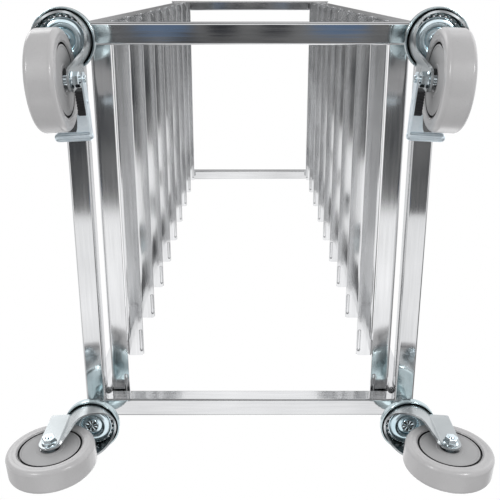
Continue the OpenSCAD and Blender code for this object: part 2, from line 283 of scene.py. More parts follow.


# The color and the roughness run between two values with the grain's tone, and the grain's lines are the bump.
# Raised edges take the wear's pale color, which is rubbed metal and a painted edge highlight, and specks are
# mixed in last, at half strength.
def makeMaterial(name, dark, light, roughness, metallic=0.0, stretch=(1, 1, 1), lineScale=60, cloudScale=4,
                 cloudShare=0.5, height=0.02, wearAndHighlight=0.0, wearAndHighlightColor=(1, 1, 1), specks=0.0,
                 speckColor=(0, 0, 0), speckScale=400):
    material = bpy.data.materials.new(name)
    material.use_nodes = True
    tree = material.node_tree
    shader = tree.nodes["Principled BSDF"]
    shader.inputs["Metallic"].default_value = metallic
    vector = put(tree, "TexCoord", {}).outputs["Object"]
    grain = useGroup(tree, grainGroup, {"Vector": vector, "Stretch": stretch, "Line Scale": lineScale,
                                        "Cloud Scale": cloudScale, "Cloud Share": cloudShare})
    color = mixColor(tree, grain["Tone"], (*dark, 1), (*light, 1))
    # Raised edges turn pale: rubbed metal and a painted highlight along the edges.
    if wearAndHighlight:
        mask = useGroup(tree, wearAndHighlightGroup, {"Vector": vector})["Mask"]
        amount = put(tree, "Math", {0: mask, 1: wearAndHighlight}, operation="MULTIPLY").outputs[0]
        color = mixColor(tree, amount, color, (*wearAndHighlightColor, 1))
    if specks:
        mask = useGroup(tree, specksGroup,
                        {"Vector": vector, "Share": specks, "Scale": speckScale})["Mask"]
        amount = put(tree, "Math", {0: mask, 1: 0.5}, operation="MULTIPLY").outputs[0]
        color = mixColor(tree, amount, color, (*speckColor, 1))
    tree.links.new(color, shader.inputs["Base Color"])
    rough = put(tree, "MapRange", {"Value": grain["Tone"], "To Min": roughness[0], "To Max": roughness[1]})
    tree.links.new(rough.outputs[0], shader.inputs["Roughness"])
    bump = put(tree, "Bump", {"Height": grain["Height"], "Strength": height, "Distance": 0.001})
    tree.links.new(bump.outputs[0], shader.inputs["Normal"])
    return material


def streaks(axis):  # noise squeezed across the axis, so that it runs along it
    return tuple(0.04 if i == axis else 1 for i in range(3))


polished = dict(dark=(0.60, 0.605, 0.61), light=(0.76, 0.765, 0.77), roughness=(0.05, 0.13), metallic=1,
                lineScale=260, cloudScale=7, cloudShare=0.6, height=0.03)
polishedX = makeMaterial("Polished steel along X", stretch=streaks(0), **polished)
polishedY = makeMaterial("Polished steel along Y", stretch=streaks(1), **polished)
polishedZ = makeMaterial("Polished steel along Z", stretch=streaks(2), **polished)
# The sheet's pale raised edges are rubbed metal and a painted edge highlight.
sheetSteel = makeMaterial("Polished sheet", (0.66, 0.665, 0.67), (0.82, 0.825, 0.83), (0.07, 0.16), metallic=1,
                          stretch=streaks(1), lineScale=220, cloudScale=9, cloudShare=0.5, height=0.03,
                          wearAndHighlight=0.5, wearAndHighlightColor=(0.92, 0.92, 0.93))
weldSteel = makeMaterial("Weld", (0.34, 0.34, 0.35), (0.6, 0.6, 0.6), (0.25, 0.45), metallic=1,
                         lineScale=500, cloudScale=60, height=0.2)
# The zinc finishes' pale raised edges are rubbed plating and a painted edge highlight.
zincPlate = makeMaterial("Zinc plate", (0.40, 0.43, 0.44), (0.49, 0.52, 0.53), (0.24, 0.32), metallic=1,
                         lineScale=320, cloudScale=16, cloudShare=0.85, height=0.015, wearAndHighlight=0.7,
                         wearAndHighlightColor=(0.95, 0.98, 1.0))
zincHead = makeMaterial("Zinc head", (0.40, 0.51, 0.54), (0.54, 0.64, 0.66), (0.13, 0.22), metallic=1,
                        lineScale=320, cloudScale=16, cloudShare=0.85, height=0.015, wearAndHighlight=0.8,
                        wearAndHighlightColor=(0.95, 0.98, 1.0))
zincHardware = makeMaterial("Zinc hardware", (0.50, 0.66, 0.72), (0.74, 0.84, 0.88), (0.09, 0.17),
                            metallic=1, lineScale=300, cloudScale=24, cloudShare=0.85, height=0.015,
                            wearAndHighlight=0.7, wearAndHighlightColor=(0.96, 0.98, 1.0))
zincLever = makeMaterial("Zinc lever", (0.66, 0.77, 0.83), (0.80, 0.88, 0.93), (0.30, 0.42), metallic=1,
                         lineScale=200, cloudScale=40, height=0.04, wearAndHighlight=0.7, wearAndHighlightColor=(0.96, 0.99, 1.0))
# Near-black: painted shade in the sunk wedges of the star rivets.
paintedRecessShade = makeMaterial("Dark recess", (0.03, 0.03, 0.03), (0.10, 0.09, 0.085), (0.3, 0.45),
                          metallic=0.6, lineScale=300, cloudScale=60)
ballSteel = makeMaterial("Ball steel", (0.7, 0.7, 0.71), (0.84, 0.84, 0.85), (0.04, 0.08), metallic=1,
                         height=0)
bearingSteel = makeMaterial("Bearing steel", (0.5, 0.5, 0.51), (0.64, 0.64, 0.65), (0.15, 0.25), metallic=1,
                            lineScale=300, cloudScale=60)
# Dark, dull steel on the stem sleeves: a painted stand-in for the dark reflection that the polished post shows
# there.
sleeveSteelDarkReflection = makeMaterial("Sleeve steel", (0.28, 0.29, 0.3), (0.4, 0.41, 0.42), (0.3, 0.4), metallic=1)
treadRubber = makeMaterial("Tread", (0.49, 0.485, 0.49), (0.55, 0.545, 0.55), (0.20, 0.28), lineScale=900,
                           cloudScale=30, height=0.06, specks=0.12, speckColor=(0.34, 0.33, 0.34),
                           speckScale=700)
hubPlastic = makeMaterial("Wheel core", (0.38, 0.38, 0.385), (0.43, 0.43, 0.435), (0.5, 0.62),
                          lineScale=1400, cloudScale=24, height=0.12)
# Black: the brake block's own plastic, and painted shade on the faces of the wheel cores' ring gap.
blackPlasticAndGapShade = makeMaterial("Black plastic", (0.008, 0.008, 0.010), (0.022, 0.022, 0.025), (0.35, 0.5),
                            lineScale=900, cloudScale=50, height=0.06)

finishes = {
    "post": polishedZ, "base_crossbar": polishedX, "top_crossbar": polishedX,
    "base_rail": polishedY, "top_rail": polishedY,
    "stem_sleeves": sleeveSteelDarkReflection, "raceway_balls": ballSteel, "bearings": bearingSteel,
}
for nodeName, node in frame["nodes"].items():
    for start, finish in finishes.items():
        if nodeName.startswith(start):
            node.data.materials.clear()
            node.data.materials.append(finish)
print("carried-over parts painted")


# Runners: an L section carried along Y, with the ledge's corners rounded in plan and a pressed pan stop.

runner = dict(wall=230, ledge=30, leg=25, thick=2, bend=4, corner=5, half=305, edge=0.5, fixedTo=13,
              stopX=25.5, stopY=274.5, stopHalf=19, stopRadius=3.5, stopFlat=1.4, stopHeight=3,
              ledgeSteps=[8, 13, 17, 21.6, 22.2, 22.8, 23.5, 24.4, 25.5, 26.6, 27.5, 28.2, 28.8, 29.4])


def runnerSection():  # the L, once round: up the leg's face, round the bend, out along the ledge and back
    s = runner
    arc = np.linspace(0, np.pi / 2, 6)
    ledge = s["ledgeSteps"]
    outerBend = [(s["bend"] * (1 - math.cos(a)), s["bend"] * (1 - math.sin(a))) for a in arc]
    inner = s["bend"] - s["thick"]
    innerBend = [(s["bend"] - inner * math.cos(a), s["bend"] - inner * math.sin(a)) for a in arc[::-1]]
    tip = [(s["ledge"] - s["edge"], 0), (s["ledge"], s["edge"]), (s["ledge"], s["thick"] - s["edge"]),
           (s["ledge"] - s["edge"], s["thick"])]
    return np.array([(s["edge"], s["leg"]), (0, s["leg"] - s["edge"]), *outerBend,
                     *[(x, 0) for x in ledge], *tip, *[(x, s["thick"]) for x in ledge[::-1]], *innerBend,
                     (s["thick"], s["leg"] - s["edge"]), (s["thick"] - s["edge"], s["leg"])])


def runnerStations():  # places along Y, close together at the rounded corners and over the stop's ends
    s = runner
    turn = np.linspace(0, np.pi / 2, 8)
    corner = s["corner"] * (1 - np.cos(turn))
    stop = s["stopHalf"] + s["stopRadius"]
    lowEnd, highEnd = s["stopY"] - stop, s["stopY"] + stop
    dense = [np.linspace(lowEnd - 0.5, lowEnd + 6, 14), np.linspace(lowEnd + 8, highEnd - 8, 6),
             np.linspace(highEnd - 6, highEnd + 0.5, 14)]
    return np.concatenate([-s["half"] + corner, np.linspace(-s["half"] + 20, lowEnd - 8, 20), *dense,
                           s["half"] - corner[::-1]])


# The section at each Y. In a rounded corner the ledge's tip draws back along a quarter circle. Near the
# stop's middle line the sheet rises by the smooth step 3r^2 - 2r^3 of the distance from that line.
def runnerRings():
    s = runner
    x, z = runnerSection().T
    y = runnerStations()[:, None]
    inset = np.maximum(0, s["corner"] - (s["half"] - np.abs(y)))
    tip = s["ledge"] - s["corner"] + np.sqrt(np.maximum(0, s["corner"] ** 2 - inset ** 2))
    stretch = (tip - s["fixedTo"]) / (s["ledge"] - s["fixedTo"])
    x = np.where(x > s["fixedTo"], s["fixedTo"] + (x - s["fixedTo"]) * stretch, x)
    along = np.maximum(0, np.abs(y - s["stopY"]) - s["stopHalf"])
    away = np.hypot(x - s["stopX"], along)
    rise = np.clip((s["stopRadius"] - away) / (s["stopRadius"] - s["stopFlat"]), 0, 1)
    z = z + s["stopHeight"] * rise * rise * (3 - 2 * rise)
    return np.stack([x - s["wall"], y + 0 * x, z], -1)


leftRunner = loft(runnerRings())
for side, sign in sides.items():
    for level in runnerLevels:
        node = f"runner_{side}_{level:02d}"
        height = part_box(node)[0][2] * 1000
        shape = moved(leftRunner, lambda p: p * [-sign, 1, 1] + [0, 0, height])
        addPiece(f"Runner {side} {level}", [shape], "rack", [sheetSteel], [node])
print("runners made")


bead = dict(radius=1.3, ripple=0.16, pitch=1.8, nearY=277, farY=303, foot=1.6, squareness=5, points=40)


# A round bead along a path: its radius swells and shrinks as a sine of the length, and runs out at open ends.
def beadAlong(path, radius, closed=False):
    path = np.asarray(path, float)
    if closed:
        ahead = np.roll(path, -1, 0) - np.roll(path, 1, 0)
    else:
        ahead = np.gradient(path, axis=0)
    ahead /= np.linalg.norm(ahead, axis=1, keepdims=True)
    up = np.array([0, 0, 1.0])
    across = np.cross(ahead, up)
    length = np.concatenate([[0], np.cumsum(np.linalg.norm(np.diff(path, axis=0), axis=1))])
    size = radius * (1 + bead["ripple"] * np.sin(length * 2 * np.pi / bead["pitch"]))
    if not closed:
        size = size * np.sqrt(np.clip(np.minimum(length, length[-1] - length) / radius, 0.02, 1))
    turn = np.linspace(0, 2 * np.pi, 8, endpoint=False)
    circle = np.cos(turn)[:, None] * across[:, None] + np.sin(turn)[:, None] * up
    return loft(path[:, None] + size[:, None, None] * circle, closed)


# A bead round a post: the superellipse |x|^n + |y|^n = 1, which is close to the tube's rounded square.
def postFoot(x, y, z, half, radius, count=160):
    power = bead["squareness"]
    turn = np.linspace(0, 2 * np.pi, count, endpoint=False)
    reach = (np.abs(np.cos(turn)) ** power + np.abs(np.sin(turn)) ** power) ** (-1 / power)
    path = np.stack([x + half * reach * np.cos(turn), y + half * reach * np.sin(turn), z + 0 * turn], -1)
    return beadAlong(path, radius, True)


welds = []
postBox = [np.array(corner) * 1000 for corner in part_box("post_front_left")]
postX, postY = (-(postBox[0] + postBox[1]) / 2)[:2]
postHalf = (postBox[1][0] - postBox[0][0]) / 2
for x in (-1, 1):
    for y in (-1, 1):
        for z in (postBox[0][2] + 0.2, postBox[1][2] - 0.2):
            welds.append(postFoot(x * postX, y * postY, z, postHalf + 0.2, bead["foot"]))
        for level in runnerLevels:
            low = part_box(f"runner_left_{level:02d}")[0][2] * 1000
            for z in (low + 1.5, low + runner["leg"] + 0.2):
                along = np.linspace(bead["nearY"], bead["farY"], bead["points"]) * y
                path = np.stack([0 * along + x * (runner["wall"] - 0.1), along, 0 * along + z], -1)
                welds.append(beadAlong(path, bead["radius"]))
addPiece("Weld beads", welds, "rack", [weldSteel], angle=60)
print("welds made")


# Casters are drawn with X to the inner side, Y along the trail and Z up, and then turned into place.

def casterFrame(corner):  # the trail, the axle's height and the move into place
    swivel = np.array(joints["swivel_" + corner]["pos_m"]) * 1000
    wheel = np.array(joints["roll_" + corner]["pos_m"]) * 1000
    back = (wheel - swivel) * [1, 1, 0]
    trail = np.linalg.norm(back)
    back = back / trail
    inward = np.array([back[1], -back[0], 0]) * (1 if corner.endswith("left") else -1)
    axes = np.array([inward, back, [0, 0, 1]])
    origin = swivel * [1, 1, 0]
    return trail, wheel[2], lambda p: origin + p @ axes


trail, axleHeight, _ = casterFrame("front_left")


def onAxle(p):  # a shape turned about Z becomes one turned about the axle
    return np.stack([p[:, 2], trail + p[:, 0], axleHeight + p[:, 1]], -1)


head = dict(rim=42.5, wall=2.5, low=139, shoulder=151, top=158, flat=27, boss=14, bore=7.97, boreTop=162,
            collar=14, collarLow=191, collarTop=199.97, collarEdge=0.7, seam=191.5, stem=8.4, stemTop=275)


def swivelHead():  # a pressed cup with a boss and a stem, turned as one, and the hex collar under the frame
    s = head
    profile = [(0, s["boreTop"]), (s["bore"], s["boreTop"]), (s["bore"], s["top"] - s["wall"]),
               (s["flat"], s["top"] - s["wall"]), (s["rim"] - s["wall"], s["shoulder"] - 1.2),
               (s["rim"] - s["wall"], s["low"]), (s["rim"], s["low"]), (s["rim"], s["shoulder"]),
               (s["flat"], s["top"]), (s["boss"], s["top"]), (s["boss"], s["seam"]),
               (s["stem"], s["seam"]), (s["stem"], s["stemTop"]), (0, s["stemTop"])]
    radii = [0, 0, 0, 3, 3, 0.9, 0.9, 3.5, 5, 2.5, 0, 0, 1, 0]
    collar = rod(s["collar"], s["collarLow"], s["collarTop"], s["collarEdge"], 6)
    return [spin(soften(profile, radii)), collar]


cup = dict(bore=7.9, neck=14.6, neckTop=145.1, neckLow=143.4, dome=22.4, domeHalf=6.8, domeTop=141.2,
           domeDrop=3.6, rim=30.2, rimIn=27.2, rimTop=141.8, backOut=21, backLow=140.6, backIn=17)


def ballCup():  # a half-ellipse dome that hangs under the crown round the rivet, with a rim at the balls
    s = cup
    turn = np.linspace(0, np.pi, 18)
    dome = np.stack([s["dome"] - s["domeHalf"] * np.cos(turn), s["domeTop"] - s["domeDrop"] * np.sin(turn)], -1)
    profile = [(s["bore"], s["neckTop"]), (s["bore"], s["neckLow"]), (s["neck"], s["neckLow"]), *dome,
               (s["rim"], s["domeTop"]), (s["rim"], s["rimTop"]), (s["rimIn"], s["rimTop"]),
               (s["backOut"], s["backLow"]), (s["backIn"], s["neckTop"])]
    return spin(profile)


rivet = dict(petals=8, depth=2.3, radius=10.2, low=139.6, top=143.6, shank=7.6, shankTop=146, edge=0.8,
             dimple=1.5, fadeIn=6, fadeOut=1.2, sunk=0.55, rings=22, columns=128)


def petalWave(turn):  # 1 in the middle of a sunk wedge, 0 in the middle of a petal, with straight slopes
    return np.abs((rivet["petals"] * turn / np.pi) % 2 - 1)


# The rivet's staked end. Its underside sinks by depth times the petal wave, and the waves fade out at the
# dimple and at the edge. The sunk wedges are the second part, in a near-black material: painted shade in the
# wedges.
def starRivet():
    s = rivet
    flat = np.linspace(0, s["radius"] - s["edge"], s["rings"])
    radii = np.append(flat, [s["radius"] - 0.3, s["radius"], s["radius"]])
    low = np.append(0 * flat + s["low"], [s["low"] + 0.25, s["low"] + s["edge"], s["top"]])
    shank = [[s["shank"], s["top"]], [s["shank"], s["shankTop"]], [0, s["shankTop"]]]
    points, faces = spin(np.concatenate([np.stack([radii, low], -1), shank]), s["columns"])
    r, turn = np.hypot(points[:, 0], points[:, 1]), np.arctan2(points[:, 1], points[:, 0])
    window = np.clip((r - s["dimple"]) / s["fadeIn"], 0, 1)
    window = window * np.clip((s["radius"] - 0.9 - r) / s["fadeOut"], 0, 1)
    under = points[:, 2] < s["low"] + 0.1
    points[:, 2] += np.where(under, s["depth"] * petalWave(turn) * window, 0)
    faces = np.array(faces)
    x, y = points[faces].mean(1)[:, :2].T
    sunk = (np.hypot(x, y) < s["radius"] - s["fadeOut"]) & (petalWave(np.arctan2(y, x)) > s["sunk"])
    return [(points, faces[~sunk].tolist(), 0), (points, faces[sunk].tolist(), 1)]


heads, cups = [], []
for corner in corners:
    place = casterFrame(corner)[2]
    heads += [moved(shape, place) for shape in swivelHead()]
    cups += [(place(points), faces, index) for points, faces, index in [(*ballCup(), 0), *starRivet()]]
addPiece("Swivel heads", heads, "rack", [zincHead], ["swivel_heads"], angle=40)
# The rivets' sunk wedges take the painted recess shade.
addPiece("Ball cups and rivets", cups, "rack", [zincHardware, paintedRecessShade], ["kingpins"],
         angle=40)
print("swivel heads made")


# Fork: a pressed crown, and one curtain of plate that runs from one leg round the front to the other.
# Each column of the curtain stands on the plan path and reaches from the lower outline up to the top edge.

fork = dict(radius=37.95, thick=3, legX=24.5, arcEnd=25, legFrom=33, heel=58, heelTop=137, skirtTop=148.6,
            stepFrom=23.5, stepTo=27, heelRadius=15, corner=3, rows=8, crownLow=147.5, crownTop=150.3,
            skirtLow=140, skirt=38, bore=8.05, rounding=0.9)
lowerEdge = smoothPath([(-40, 139.4), (-37, 138.6), (-30, 131.5), (-16, 120), (-2, 111.5), (4, 107.5),
                        (8, 103.5), (10.8, 99), (12.8, 94), (14.6, 87), (16.4, 80), (18.8, 72), (21.6, 65),
                        (25.4, 58), (30.8, 52.3), (37, 49.2), (43, 48.5)])  # (Y, Z) down to the axle's boss


# Plan of the curtain's outer face: a circle round the crown, a soft bend, then straight back and closer steps
# at the rounded end, mirrored about the middle.
def forkPlan():
    s = fork
    start = math.asin(s["arcEnd"] / s["radius"])
    turn = np.concatenate([np.linspace(-np.pi / 2, 0.1, 44)[:-1], np.linspace(0.1, start, 40)])
    arc = s["radius"] * np.stack([np.cos(turn), np.sin(turn)], -1)
    slope = np.array([-math.sin(start), math.cos(start)])
    knee = arc[-1] + slope * (s["legX"] - arc[-1][0]) / slope[0]
    bend = soften([arc[-1], knee, (s["legX"], s["legFrom"])], [0, 99, 0], 14)[1:]
    legEnd = trail + s["heelRadius"] * np.sin(np.linspace(0, np.pi / 2, 22))
    straight = np.concatenate([np.linspace(s["legFrom"], trail, 14)[1:-1], legEnd])
    leg = np.stack([np.full(len(straight), s["legX"]), straight], -1)
    half = np.concatenate([arc, bend, leg])
    return np.concatenate([half[::-1], (half * [-1, 1])[1:]])


# Outer and inner faces stand a plate's thickness apart. The end round the axle is a half circle, and the rear
# top corner a quarter circle.
def forkWalls():
    s = fork
    outer = forkPlan()
    ahead = np.gradient(outer, axis=0)
    ahead /= np.linalg.norm(ahead, axis=1, keepdims=True)
    inner = outer + s["thick"] * np.stack([-ahead[:, 1], ahead[:, 0]], -1)
    if np.abs(inner[0, 0]) > np.abs(outer[0, 0]):
        inner = 2 * outer - inner
    y = outer[:, 1]
    bottom = np.interp(y, lowerEdge[:, 0], lowerEdge[:, 1])
    pastAxle = np.clip(y - trail, 0, s["heelRadius"])
    bottom = np.where(y > trail, axleHeight - np.sqrt(s["heelRadius"] ** 2 - pastAxle ** 2), bottom)
    top = np.interp(y, [s["stepFrom"], s["stepTo"]], [s["skirtTop"], s["heelTop"]])
    inCorner = np.clip(y - (s["heel"] - s["corner"]), 0, s["corner"])
    top = top - (s["corner"] - np.sqrt(s["corner"] ** 2 - inCorner ** 2))
    rise = np.linspace(0, 1, s["rows"])
    z = bottom[:, None] + (top - bottom)[:, None] * rise
    outside = np.concatenate([np.repeat(outer[:, None], s["rows"], 1), z[..., None]], -1)
    inside = np.concatenate([np.repeat(inner[:, None], s["rows"], 1), z[..., None]], -1)
    return loft(np.concatenate([outside, inside[:, ::-1]], 1))


def forkCrown():  # a flat ring round the rivet with a skirt that hangs from its rim
    s = fork
    inner = s["skirt"] - s["thick"]
    profile = [(s["bore"], s["crownTop"]), (s["bore"], s["crownLow"]), (inner, s["crownLow"]),
               (inner, s["skirtLow"]), (s["skirt"], s["skirtLow"]), (s["skirt"], s["crownTop"]),
               (s["bore"], s["crownTop"])]
    return spin(soften(profile, [0, 0.4, 1.8, 0.9, 0.9, 2.2, 0])[:-1])


for corner in corners:
    place = casterFrame(corner)[2]
    addPiece("Fork walls " + corner, [moved(forkWalls(), place)], "fork_" + corner, [zincPlate],
             ["fork_" + corner], angle=50, rounding=fork["rounding"])
    addPiece("Fork crown " + corner, [moved(forkCrown(), place)], "fork_" + corner, [zincHead],
             angle=50)
print("forks made")


axle = dict(sleeve=6, bolt=5, leg=24.5, gap=21.45, flange=11, flangeThick=2, head=6.5, nut=8, across=17,
            brakedEnd=42, pastNut=1.5)


def axleParts(braked):  # bolt, sleeve, flanged nut and flanged head; with a brake the nut is on the inner side
    s = axle
    hexRadius = s["across"] / 2 / math.cos(math.pi / 6)
    nutLow = s["leg"] + s["flangeThick"]
    end = s["brakedEnd"] if braked else nutLow + s["nut"] + s["pastNut"]
    headEnd = -s["leg"] - s["head"]
    flange = [(0, 0), (s["flange"] - 0.6, 0), (s["flange"], 0.5), (s["flange"], 0.9),
              (hexRadius - 0.6, s["flangeThick"] + 0.3), (0, s["flangeThick"] + 0.3)]
    nutTop = s["nut"] - 0.3
    nut = [(0, 0), (hexRadius, 0), (hexRadius, nutTop - 1.2), (hexRadius - 1.1, nutTop), (5.4, nutTop),
           (0, nutTop)]
    dome = [(0, 0), (hexRadius, 0), (hexRadius, 2.4), (hexRadius - 0.9, 3.3), (hexRadius - 2.6, 4), (3, 4.4),
            (0, 4.5)]
    shapes = [
        rod(s["bolt"], headEnd + 2, end, 0.7), rod(s["sleeve"], -s["gap"], s["gap"], 0.3),
        moved(spin(flange), lambda p: p + [0, 0, s["leg"]]),
        moved(spin(nut, 6), lambda p: p + [0, 0, nutLow]),
        moved(spin(flange), lambda p: -p + [0, 0, -s["leg"]]),
        moved(spin(dome, 6), lambda p: -p + [0, 0, -nutLow]),
    ]
    if not braked:
        shapes = [moved(shape, lambda p: -p) for shape in shapes]
    return [moved(shape, onAxle) for shape in shapes]


for corner in corners:
    place = casterFrame(corner)[2]
    shapes = [moved(shape, place) for shape in axleParts(corner.startswith("front"))]
    addPiece("Axle " + corner, shapes, "fork_" + corner, [zincHardware], ["axle_" + corner])
print("axles made")


wheel = dict(radius=63.5, inner=47, half=18, shoulder=7, step=6, stepDepth=0.2, line=11.5, lineDepth=0.25,
             hubHalf=16.5, core=43.1, rim=45.9, gap=4, bore=7.05, bearing=14.2, bearingFace=8.4,
             bossRadius=19, coverDrop=0.7, columns=segments + 32)


def treadShape():  # a ring with quarter-circle shoulders, a fine step on each side and two fine lines round
    s = wheel
    corner = [(s["half"] - s["shoulder"] * (1 - math.cos(a)), s["radius"] - s["shoulder"] * (1 - math.sin(a)))
              for a in np.linspace(0, np.pi / 2, 14)]
    side = [(s["hubHalf"], s["inner"]), (s["half"] - 0.5, s["inner"] + 0.6), (s["half"], s["inner"] + 1.4),
            (s["half"], s["inner"] + s["step"]), (s["half"] - s["stepDepth"], s["inner"] + s["step"] + 0.3),
            (s["half"], s["inner"] + s["step"] + 0.6)]
    groove = [(s["line"] + 0.5, s["radius"]), (s["line"], s["radius"] - s["lineDepth"]),
              (s["line"] - 0.5, s["radius"])]
    half = np.array(side + corner + groove + [(0, s["radius"])])
    loop = np.concatenate([half, (half * [-1, 1])[::-1][1:]])
    return spin(loop[:, ::-1], s["columns"])


# The core: bearing seats, flat covers and a deep ring gap under the tread. The gap's faces come back apart, to
# be painted black as the gap's shade.
def hubShape():
    s = wheel
    face = s["hubHalf"]
    cover = face - s["coverDrop"]
    half = [(s["bore"], s["bearingFace"]), (s["bearing"], s["bearingFace"]), (s["bearing"], face - 0.5),
            (s["bearing"] + 0.5, face), (s["bossRadius"], face), (s["bossRadius"] + 1, cover),
            (s["core"] - 3, cover), (s["core"] - 2, face), (s["core"] - 0.5, face), (s["core"], face - 0.5)]
    groove = [(s["core"], face - 0.5), (s["core"], face - s["gap"]), (s["rim"], face - s["gap"]),
              (s["rim"], face - 0.4)]
    outer = [(s["rim"], face - 0.4), (s["rim"] + 0.3, face), (s["inner"], face)]
    chain = np.array(half + groove[1:] + outer[1:])
    loop = np.concatenate([chain, (chain * [1, -1])[::-1]])
    points, faces = spin(loop, s["columns"])
    faces = np.array(faces)
    radius = np.hypot(points[:, 0], points[:, 1])[faces]
    inGroove = ((radius > s["core"] - 0.01) & (radius < s["rim"] + 0.01)).all(1)
    return points, faces[~inGroove].tolist(), faces[inGroove].tolist()


tread, (hubPoints, hubFaces, hubGroove) = treadShape(), hubShape()
for corner in corners:
    place = casterFrame(corner)[2]
    shape = moved(moved(tread, onAxle), place)
    addPiece("Tread " + corner, [shape], "wheel_" + corner, [treadRubber], ["tread_" + corner],
             angle=28)
    points = place(onAxle(hubPoints))
    # The ring gap's faces are painted black: painted shade in the gap.
    addPiece("Wheel core " + corner, [(points, hubFaces, 0), (points, hubGroove, 1)], "wheel_" + corner,
             [hubPlastic, blackPlasticAndGapShade], ["hub_" + corner], angle=28)
print("wheels made")


# Brake: a lever round the axle bolt, a pressed web, a ribbed pedal bar and a black block on the arm.

brake = dict(rise=8, armIn=37, armThick=2.5, armRadius=9, blockIn=27, blockFrom=12.5, blockTo=44, blockHalf=8.5,
             reach=73, pedalOut=41, pedalLength=50, pedalRadius=6, grooves=12, grooveDepth=0.45,
             ribs=9, ribDepth=0.8, rivet=3, rounding=0.45, webThick=2.5,
             web=[(39.5, 44), (39.5, 73), (16, 73), (20, 66), (22, 60), (23.5, 46), (23.5, 44), (39.5, 44)],
             armEdge=[(0.5, -9), (14, -8.8), (44, -8.5), (60, -6), (73, -5)],
             ribSteps=[(0.04, 0.3), (0.14, 0), (0.6, 0), (0.68, 1), (0.96, 1)])  # share of a rib, how deep


def atLever(p):  # from (X, Y behind the axle, Z) on a level lever to the released one
    turn = math.radians(brake["rise"])
    return np.stack([p[:, 0], trail + p[:, 1] * math.cos(turn) - p[:, 2] * math.sin(turn),
                     axleHeight + p[:, 1] * math.sin(turn) + p[:, 2] * math.cos(turn)], -1)


def armShape():  # a plate with a round end at the axle, whose two long edges narrow towards the pedal
    s = brake
    arc = [(s["armRadius"] * math.cos(a), s["armRadius"] * math.sin(a))
           for a in np.linspace(math.radians(95), math.radians(265), 22)]
    lower = smoothPath(s["armEdge"], 2)
    upper = (lower * [1, -1])[::-1]
    points, faces = prism(np.concatenate([arc, lower, upper]), s["armIn"], s["armIn"] + s["armThick"])
    return points[:, [2, 0, 1]], faces


def webShape():  # the flat web between the arm and the pedal bar, hollowed towards the wheel
    s = brake
    outline = soften(s["web"], [0, 1, 1, 4, 4, 3, 1, 0])[:-1]
    return prism(outline, -s["webThick"] / 2, s["webThick"] / 2)


# A bar along X. Towards its ends the radius falls as sqrt(1 - u^2), where u runs from 0 to 1, and in between
# the ribs take away the squared half cosine of the turn.
def pedalShape():
    s = brake
    half = s["pedalLength"] / 2
    across = np.concatenate([-half + s["pedalRadius"] * (1 - np.cos(np.linspace(0, np.pi / 2, 10))),
                             np.linspace(-half + s["pedalRadius"] + 1.5, half - s["pedalRadius"] - 1.5, 12),
                             half - s["pedalRadius"] * (1 - np.cos(np.linspace(np.pi / 2, 0, 10)))])
    over = np.clip((np.abs(across) - half + s["pedalRadius"]) / s["pedalRadius"], 0, 1)
    radius = s["pedalRadius"] * np.sqrt(1 - over ** 2)
    turn = np.linspace(0, 2 * np.pi, 120, endpoint=False)
    grooves = (0.5 - 0.5 * np.cos(s["grooves"] * turn)) ** 2 * s["grooveDepth"]
    depth = np.where(over > 0, 0, 1)[:, None] * grooves
    r = radius[:, None] - depth
    x = s["pedalOut"] - half + across
    rings = np.stack([x[:, None] + 0 * r, s["reach"] + r * np.cos(turn), r * np.sin(turn)], -1)
    return rings.reshape(-1, 3), gridFaces(len(x), len(turn), False, True)


def blockShape():  # a rounded bar along the arm, narrowed at every groove between two ribs
    s = brake
    pitch = (s["blockTo"] - s["blockFrom"]) / s["ribs"]
    rings = []
    for i in range(s["ribs"]):
        for share, depth in s["ribSteps"]:
            y = s["blockFrom"] + (i + share) * pitch
            cut = s["ribDepth"] * depth
            z, low, high = s["blockHalf"] - cut, s["blockIn"] + cut * 0.6, s["armIn"] - 0.02
            plan = soften([(low, 0), (low, z), (high, z), (high, -z), (low, -z), (low, 0)],
                          [0, 1.2, 0.4, 0.4, 1.2, 0], 4)[:-1]
            rings.append(np.stack([plan[:, 0], np.full(len(plan), y), plan[:, 1]], -1))
    return loft(rings)


def armRivet():  # a low rivet head on the arm's outer face, over the middle of the block
    s = brake
    face = s["armIn"] + s["armThick"]
    points, faces = rod(s["rivet"], face - 0.2, face + 1, 0.5, 32)
    middle = (s["blockFrom"] + s["blockTo"]) / 2
    return np.stack([points[:, 2], middle + points[:, 0], points[:, 1]], -1), faces


for side in sides:
    place = casterFrame("front_" + side)[2]
    lever, pedal, block = [[moved(moved(shape, atLever), place) for shape in shapes]
                           for shapes in ([armShape(), webShape(), armRivet()], [pedalShape()], [blockShape()])]
    addPiece("Brake lever " + side, lever, "brake_" + side, [zincLever], ["brake_lever_" + side],
             rounding=brake["rounding"])
    addPiece("Pedal bar " + side, pedal, "brake_" + side, [zincLever], angle=60)
    addPiece("Brake block " + side, block, "brake_" + side, [blackPlasticAndGapShade],
             ["brake_block_" + side], angle=40)
print("brakes made")


# The studio: a pale floor, a dark glowing card under the rack that only the steel shows, as a painted
# reflection, and a world graded by height.

studio = dict(floorHalf=8, fadeFrom=1.6, fadeTo=4.5,
              cardHeight=-0.9, cardHalf=0.66, cardBack=0.30, cardFront=-0.42,
              levels=[(-1, 1.1), (-0.76, 1.1), (-0.66, 0.5), (0, 0.45), (0.5, 0.75), (0.9, 1.2), (1, 0.15)],
              bandScale=1.7, bandFrom=0.42, bandTo=0.58, bandLow=0.35, bandHigh=1.7,
              levelTo=0.55, steepFrom=0.72, softFront=1.02, softBack=0.62,
              patches=[((0.25, 0.25, 0.9), (0.10, 0.030, 1), (0.13, 0.20, 0.32)),
                       ((0.075, 0.25, 0.9), (0.055, 0.028, 1), (0.02, 0.022, 0.03)),
                       ((0.05, 0.215, 0.9), (0.09, 0.006, 1), (0.03, 0.03, 0.03))])


